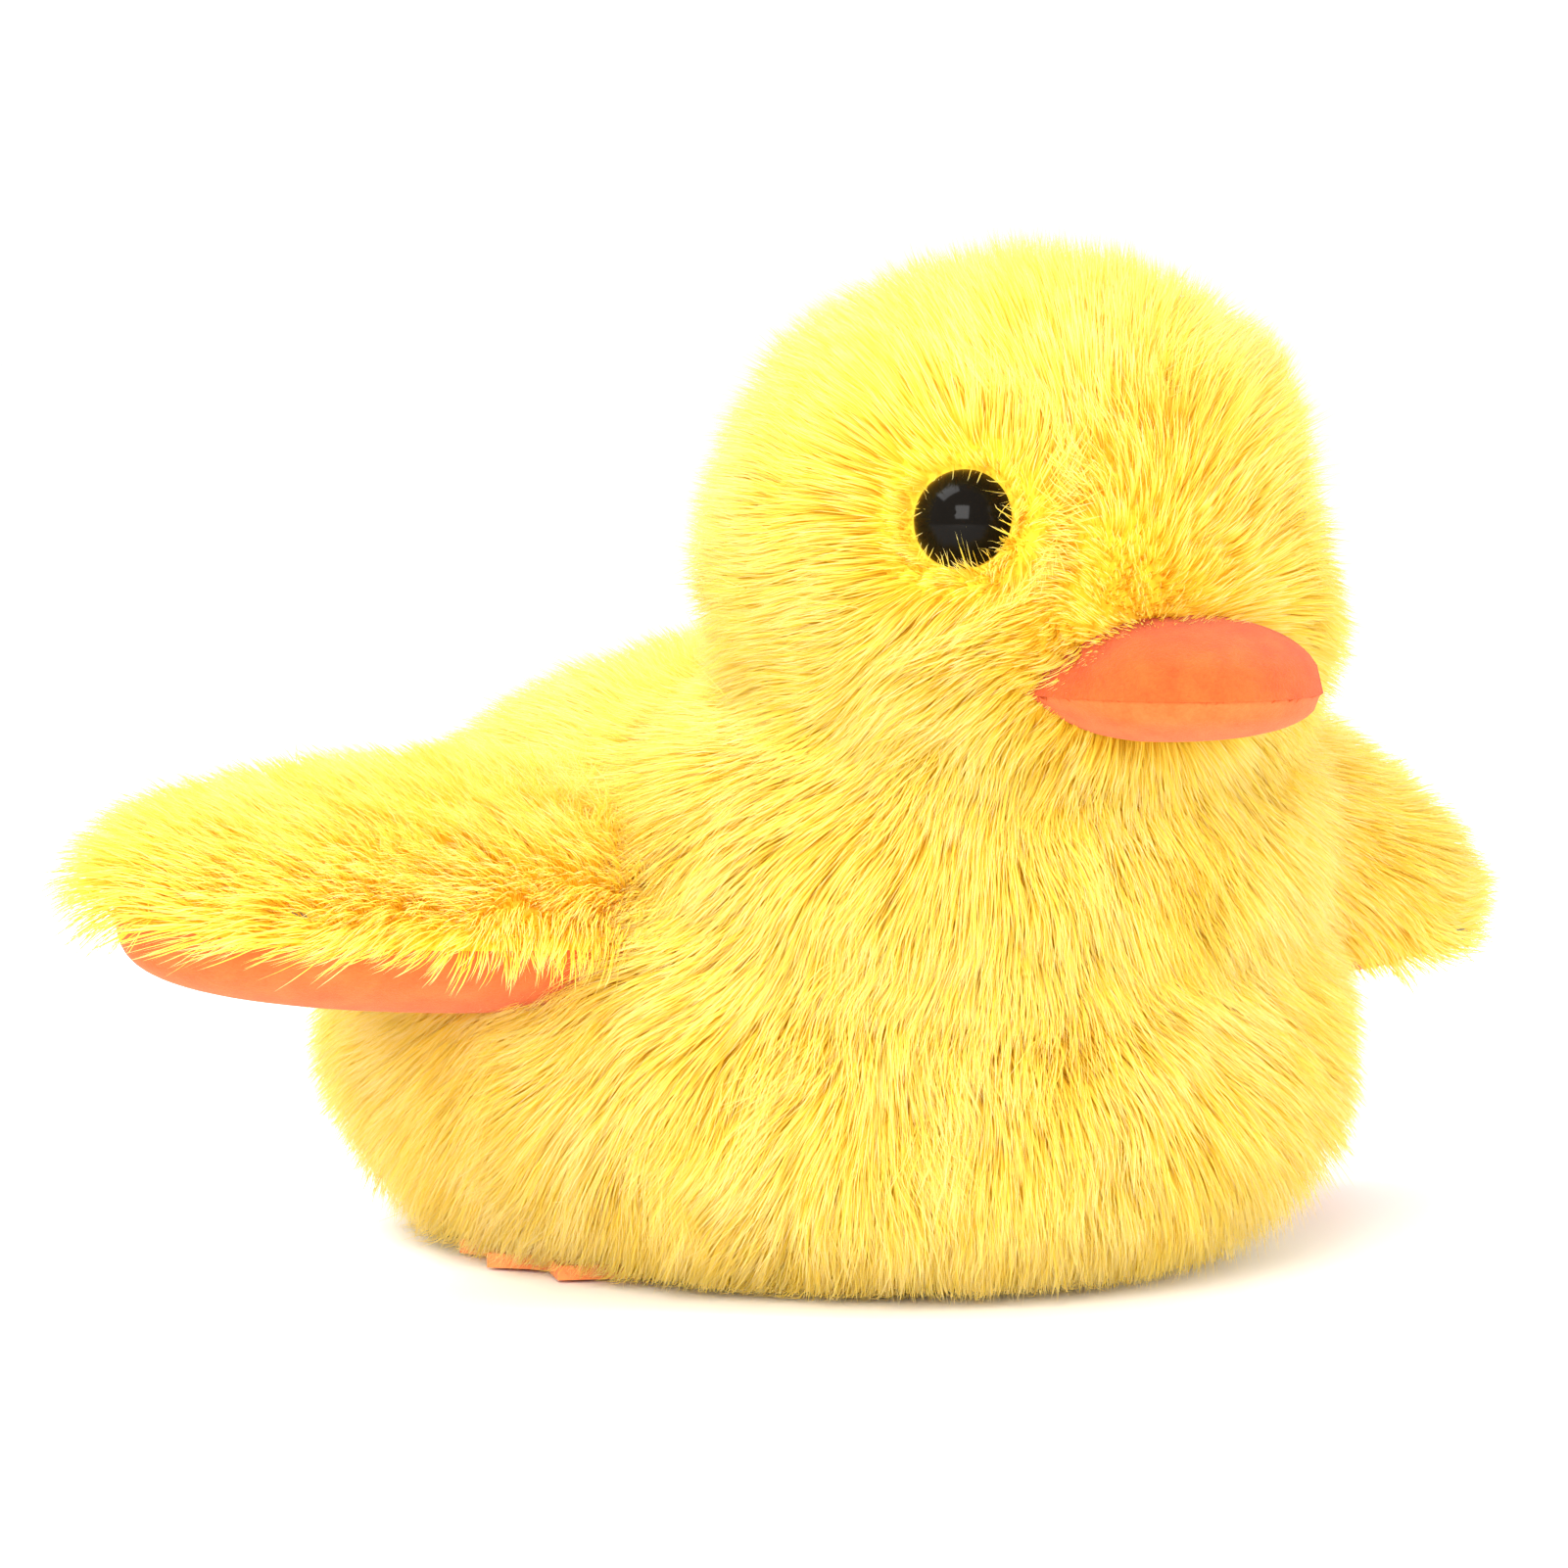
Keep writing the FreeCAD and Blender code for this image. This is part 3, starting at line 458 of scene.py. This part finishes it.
def ribbons(name, paths, normals, width, tone, twist, material):
    """A mesh of flat tapered strands. paths is strands x (STEPS + 1) x 3, in mm."""
    count = len(paths)
    tangents = unit(np.gradient(paths, axis=1))
    sideways = unit(np.cross(tangents, normals[:, None, :]))
    upward = np.cross(sideways, tangents)
    sideways = sideways * np.cos(twist)[:, None, None] + upward * np.sin(twist)[:, None, None]
    half = (width[:, None] * np.array(WIDTHS)[None, :] / 2)[:, :, None]
    left = paths[:, :-1] - sideways[:, :-1] * half
    right = paths[:, :-1] + sideways[:, :-1] * half
    pairs = np.stack([left, right], axis=2).reshape(count, STEPS * 2, 3)
    points = np.concatenate([pairs, paths[:, -1:]], axis=1)
    per = STEPS * 2 + 1
    quads = np.array([[2 * i, 2 * i + 1, 2 * i + 3, 2 * i + 2] for i in range(STEPS - 1)])
    tip = np.array([2 * STEPS - 2, 2 * STEPS - 1, 2 * STEPS])
    one = np.concatenate([quads.ravel(), tip])
    loops = (np.arange(count)[:, None] * per + one[None, :]).ravel()
    sizes = np.tile([4] * (STEPS - 1) + [3], count)
    starts = np.concatenate([[0], np.cumsum(sizes)[:-1]])
    mesh = bpy.data.meshes.new(name)
    mesh.vertices.add(count * per)
    mesh.vertices.foreach_set("co", (points * MM).astype(np.float32).ravel())
    mesh.loops.add(len(loops))
    mesh.loops.foreach_set("vertex_index", loops.astype(np.int32))
    mesh.polygons.add(len(sizes))
    mesh.polygons.foreach_set("loop_start", starts.astype(np.int32))
    mesh.polygons.foreach_set("use_smooth", np.ones(len(sizes), bool))
    mesh.update(calc_edges=True)
    shares = np.repeat(np.arange(STEPS) / STEPS, 2).tolist() + [1.0]
    along = mesh.attributes.new("along", "FLOAT", "POINT")
    along.data.foreach_set("value", np.tile(shares, count).astype(np.float32))
    shade = mesh.attributes.new("tone", "FLOAT", "POINT")
    shade.data.foreach_set("value", np.repeat(tone, per).astype(np.float32))
    own = np.cross(tangents, sideways)
    own *= np.sign((own * normals[:, None, :]).sum(2, keepdims=True))
    soft = unit(normals[:, None, :] * SOFT_SHADE + own * (1 - SOFT_SHADE))
    shading = np.concatenate([np.repeat(soft[:, :-1], 2, axis=1), soft[:, -1:]], axis=1)
    mesh.normals_split_custom_set_from_vertices(shading.reshape(-1, 3))
    mesh.materials.append(material)
    piece = bpy.data.objects.new(name, mesh)
    bpy.context.scene.collection.objects.link(piece)
    return piece


def clumped(paths, cell_mm, strength, rng):
    """Draws the tips of neighbouring strands together, as pile does."""
    roots = paths[:, 0]
    guides = rng.choice(len(roots), size=max(1, int(len(roots) / (9.0 * cell_mm ** 2))), replace=False)
    tree = KDTree(len(guides))
    for number, guide in enumerate(guides):
        tree.insert(roots[guide], number)
    tree.balance()
    nearest = guides[np.array([tree.find(root)[1] for root in roots])]
    share = (np.linspace(0, 1, STEPS + 1) ** 1.6)[None, :, None]
    pull = (strength * (0.5 + 0.5 * rng.random(len(roots))))[:, None, None]
    return paths + (paths[nearest] - paths) * share * pull


def grow(name, roots, normals, flow, length, lean, rng, width=0.12, clump=(1.2, 0.24),
         material="yellow_fur", wobble=0.45):
    """Strands from roots: flow is the lying direction, lean the angle from the normal in radians.

    clump is how far apart the clumps stand in mm and how strongly they draw together.
    """
    flow = flow - (flow * normals).sum(1, keepdims=True) * normals
    swirl = 0.4 * np.clip(roots[:, 2] / 16.0, 0.25, 1.0)[:, None]    # calmer towards the hem
    flow = unit(flow + soft_noise(roots, 6.0, 21) * swirl + rng.normal(size=roots.shape) * 0.2)
    flow = unit(flow - (flow * normals).sum(1, keepdims=True) * normals)
    length = length * rng.uniform(0.7, 1.12, len(roots))
    lean = lean * rng.uniform(0.75, 1.2, len(roots))
    paths = [roots]
    for step in range(STEPS):
        angle = lean * (0.45 + 0.75 * (step + 0.5) / STEPS)
        heading = normals * np.cos(angle)[:, None] + flow * np.sin(angle)[:, None]
        paths.append(paths[-1] + heading * (length / STEPS)[:, None])
    paths = clumped(np.stack(paths, axis=1), clump[0], clump[1], rng)
    paths = clumped(paths, clump[0] * 2.6, clump[1] * 0.35, rng)
    bend = wobble * (np.linspace(0, 1, STEPS + 1) ** 1.3)[None, :, None]
    paths += soft_noise(roots, 2.0, 31)[:, None, :] * bend
    low = GROUND_GAP + 0.6 * rng.random(len(roots))
    paths[:, :, 2] = np.maximum(paths[:, :, 2], low[:, None])
    tone = rng.normal(0.0, 0.10, len(roots)) + soft_noise(roots, 5.0, 41)[:, 0] * 0.05
    widths = width * rng.uniform(0.75, 1.25, len(roots))
    twist = rng.uniform(-1.2, 1.2, len(roots))
    pieces = []
    order = np.argsort(np.arctan2(roots[:, 1], roots[:, 0]))
    parts = math.ceil(len(roots) / MAX_STRANDS)
    for number, share in enumerate(np.array_split(order, parts), start=1):
        label = name if parts == 1 else f"{name}_{number}"
        pieces.append(ribbons(label, paths[share], normals[share], widths[share], tone[share], twist[share],
                              MATERIALS[material]))
    return pieces


def away_from(points, source):
    """Directions that lead away from the source."""
    return unit(points - source)


def near(points, centre, inner, outer):
    """1 within inner mm of the centre, 0 beyond outer, smooth between."""
    distance = np.linalg.norm(points - centre, axis=1)
    share = np.clip((outer - distance) / (outer - inner), 0, 1)
    return share * share * (3 - 2 * share)


def grow_body(skin):
    """Fur of body and head: it spreads from the brow over the head and from the neck down the body."""
    rng = np.random.default_rng(5)
    roots, normals = scatter(skin, PILE_PER_MM2, rng)
    keep = roots[:, 2] > HEM_HEIGHT + 0.15
    for side in SIDES.values():
        keep &= np.linalg.norm(roots - eye_centre(side), axis=1) > EYE_RADIUS + 0.2
    bill = (roots - BILL_CENTRE) / np.array([BILL_RADII[0] - 1.5, BILL_RADII[1], 2.6])
    keep &= ~((np.linalg.norm(bill, axis=1) < 1.0) & (roots[:, 1] < BILL_CENTRE[1]))
    roots, normals = roots[keep], normals[keep]
    # 0 on the body and its back, 1 on the head, gradual over the neck
    on_head = np.clip((roots[:, 2] - 38.0) / 16.0, 0, 1)
    on_head *= np.clip((14.0 - roots[:, 1]) / 10.0, 0, 1)
    down = np.array([0.0, 0.0, -1.0])
    body_flow = away_from(roots, NAPE) + 0.3 * down
    head_flow = away_from(roots, BROW) + 0.45 * down
    flow = body_flow * (1 - on_head[:, None]) + head_flow * on_head[:, None]
    at_hem = np.clip((9.0 - roots[:, 2]) / 6.0, 0, 1)
    length = BODY_PILE * (1 - on_head) + HEAD_PILE * on_head + HEM_EXTRA * at_hem
    lean = np.radians(BODY_LEAN * (1 - on_head) + HEAD_LEAN * on_head)
    for side in SIDES.values():
        centre = eye_centre(side)
        close = near(roots, centre, 4.5, 10.0)
        flow += away_from(roots, centre) * (2.2 * close)[:, None]
        length *= 1 - 0.48 * near(roots, centre, 4.0, 9.0)
        # a few strands by the eye lie across its rim
        wisps = (rng.random(len(roots)) < 0.08) & (np.linalg.norm(roots - centre, axis=1) < EYE_RADIUS + 2.0)
        flow[wisps] = -away_from(roots[wisps], centre)
    mouth = BILL_CENTRE + np.array([0.0, -4.0, 1.0])
    close = near(roots, mouth, 10.0, 17.0)
    flow += away_from(roots, mouth) * (1.5 * close)[:, None]
    length *= 1 - 0.35 * close
    for piece in grow("body_fur", roots, normals, flow, length, lean, rng):
        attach(piece, "chassis")


def bend_at_shoulder(piece):
    """Bakes the piece's placement into its mesh."""
    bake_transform(piece)


def grow_wing(side_name, sheet):
    """Fur of one wing: outwards along the wing, hanging over its edges."""
    side = SIDES[side_name]
    rng = np.random.default_rng(7 if side > 0 else 8)
    roots, normals = scatter(sheet, PILE_PER_MM2, rng)
    # no strands where the wing's root is hidden inside the body
    outside = np.linalg.norm((roots - BODY_CENTRE) / BODY_RADII, axis=1) > 0.98
    roots, normals = roots[outside], normals[outside]
    middle = wing_to_world(side_name, np.array([[WING_MIDDLE_X, WING_CENTRE_Y, -WING_SINK]]))[0]
    outwards = np.array([side, 0.0, -0.08])
    edge = (roots - middle) * np.array([0.012, 0.028, 0.0])
    flow = outwards + edge + np.array([0.0, 0.0, -0.25])
    front = np.clip(((middle[1] - roots[:, 1]) / WING_CHORD - 0.6) / 0.3, 0, 1)
    flow[:, 2] -= 0.9 * front
    length = WING_PILE - WING_EDGE_SHORTER * front
    lean = np.radians(WING_LEAN + WING_EDGE_LEAN * front)
    clump = (1.2, 0.24 + 0.4 * front)
    for piece in grow(f"{side_name}_wing_fur_pile", roots, normals, flow, length, lean, rng, clump=clump):
        bend_at_shoulder(piece)


def make_wing(side_name):
    """One wing: the fur fabric above, its pile, and the felt below."""
    top = wing_sheet(side_name, f"{side_name}_wing_fur_backing", WING_TOP[side_name])
    top.data.materials.append(MATERIALS["fur_backing"])
    grow_wing(side_name, top)
    felt = wing_sheet(side_name, f"{side_name}_wing_felt_skin", -WING_BOTTOM[side_name])
    felt.data.materials.append(MATERIALS["orange_felt"])
    for piece, slot in ((top, "yellow_fur"), (felt, "orange_felt")):
        bend_at_shoulder(piece)
    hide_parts(f"{side_name}_wing_fur", f"{side_name}_wing_wadding")
    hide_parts(f"{side_name}_wing_felt")


# ------------------------------------------------------------------ bill

def bill_half(name, depth, material, spread=1.0, rows=28, columns=48):
    """One pillow of the bill: rounded in plan, crowned, drawn in to the mouth seam."""
    points = []
    for row in range(rows):
        reach = row / (rows - 1)
        for column in range(columns):
            turn = math.pi + math.pi * column / (columns - 1)
            x = BILL_RADII[0] * spread * reach * math.cos(turn)
            y = BILL_RADII[1] * spread * reach * math.sin(turn)
            front = min(1.0, math.sin(math.pi * column / (columns - 1)) / 0.6)
            crown = (1.0 - reach ** 2.4) ** (1.05 - 0.62 * front)
            points.append((x, BILL_CENTRE[1] + y, BILL_CENTRE[2] + depth * crown))
    faces = grid_faces(rows, columns)
    if depth < 0:
        faces = [face[::-1] for face in faces]
    piece = new_mesh(name, points, faces)
    piece.data.materials.append(MATERIALS[material])
    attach(piece, "chassis")
    return piece


def grow_bill_nap(pillow, name, seed):
    """The short fuzz of the fleece."""
    rng = np.random.default_rng(seed)
    roots, normals = scatter(pillow, NAP_PER_MM2, rng)
    keep = roots[:, 1] < BILL_CENTRE[1] - 1.0
    roots, normals = roots[keep], normals[keep]
    flow = rng.normal(size=roots.shape)
    length = np.full(len(roots), NAP_LENGTH)
    lean = np.full(len(roots), math.radians(NAP_LEAN))
    for piece in grow(name, roots, normals, flow, length, lean, rng, width=NAP_WIDTH,
                      clump=(0.5, 0.2), material="orange_nap", wobble=0.06):
        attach(piece, "chassis")


def make_bill():
    """Both pillows of the bill, and the nap of the upper one."""
    upper = bill_half("bill_upper_pillow", BILL_RISE, "orange_fleece")
    lower = bill_half("bill_lower_pillow", -BILL_DROP, "pale_fleece", spread=0.985)
    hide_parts("bill_upper")
    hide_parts("bill_lower")
    grow_bill_nap(upper, "bill_upper_nap", 15)


# ------------------------------------------------------------------ stage, light and camera

CAMERA_TURN, CAMERA_RISE = math.radians(-33.0), math.radians(5.0)
LENS_MM, SENSOR_MM, IMAGE_WIDTH = 150.0, 36.0, 1601
PIXELS_PER_MM = 12.0
LOOK_AT = np.array([-6.9, 4.5, 40.0])
SOFTBOX_MM = 420
LIGHTS = {"key": ((-520, -560, 380), 8.0), "fill": ((420, -620, 260), 3.0), "top": ((-300, 160, 640), 5.5)}
FLOOR_HALF_MM = 3000


def make_camera():
    """A long lens at the viewing angle, as far off as gives the wanted size in the image."""
    distance = IMAGE_WIDTH * LENS_MM / SENSOR_MM / PIXELS_PER_MM
    back = np.array([math.sin(CAMERA_TURN) * math.cos(CAMERA_RISE),
                     -math.cos(CAMERA_TURN) * math.cos(CAMERA_RISE), math.sin(CAMERA_RISE)])
    data = bpy.data.cameras.new("camera")
    data.lens = LENS_MM
    data.sensor_width = SENSOR_MM
    data.clip_start = 0.01
    camera = bpy.data.objects.new("camera", data)
    camera.location = (LOOK_AT + back * distance) * MM
    camera.rotation_euler = (math.pi / 2 - CAMERA_RISE, 0.0, CAMERA_TURN)
    bpy.context.scene.collection.objects.link(camera)
    bpy.context.scene.camera = camera


def area_light(name, place_mm, power):
    """A softbox that faces the toy."""
    data = bpy.data.lights.new(name, "AREA")
    data.shape = "SQUARE"
    data.size = SOFTBOX_MM * MM
    data.energy = power
    lamp = bpy.data.objects.new(name, data)
    lamp.location = np.array(place_mm) * MM
    aim = Vector(LOOK_AT * MM) - lamp.location
    lamp.rotation_euler = aim.to_track_quat("-Z", "Y").to_euler()
    bpy.context.scene.collection.objects.link(lamp)


def make_stage():
    """A pale floor, an even white surround and three softboxes."""
    corners = [(x * FLOOR_HALF_MM, y * FLOOR_HALF_MM, 0) for x, y in ((-1, -1), (1, -1), (1, 1), (-1, 1))]
    floor = new_mesh("studio_floor", corners, [(0, 1, 2, 3)])
    material, nodes, _ = new_material("studio_paper")
    nodes["Principled BSDF"].inputs["Base Color"].default_value = (0.96, 0.96, 0.96, 1.0)
    nodes["Principled BSDF"].inputs["Roughness"].default_value = 0.8
    floor.data.materials.append(material)
    world = bpy.data.worlds.new("studio")
    world.use_nodes = True
    world.node_tree.nodes["Background"].inputs["Color"].default_value = (1.0, 1.0, 1.0, 1.0)
    world.node_tree.nodes["Background"].inputs["Strength"].default_value = 1.06
    bpy.context.scene.world = world
    for name, (place, power) in LIGHTS.items():
        area_light(name, place, power)
    bpy.context.scene.view_settings.view_transform = "Standard"


# ------------------------------------------------------------------ build

dress_nodes()
skin = make_skin()
skin.data.materials.append(MATERIALS["fur_backing"])
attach(skin, "chassis")
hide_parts("body_cover", "head_cover", "body_stuffing", "head_stuffing")
grow_body(skin)
for wing_side in SIDES:
    make_wing(wing_side)
make_bill()
make_stage()
make_camera()
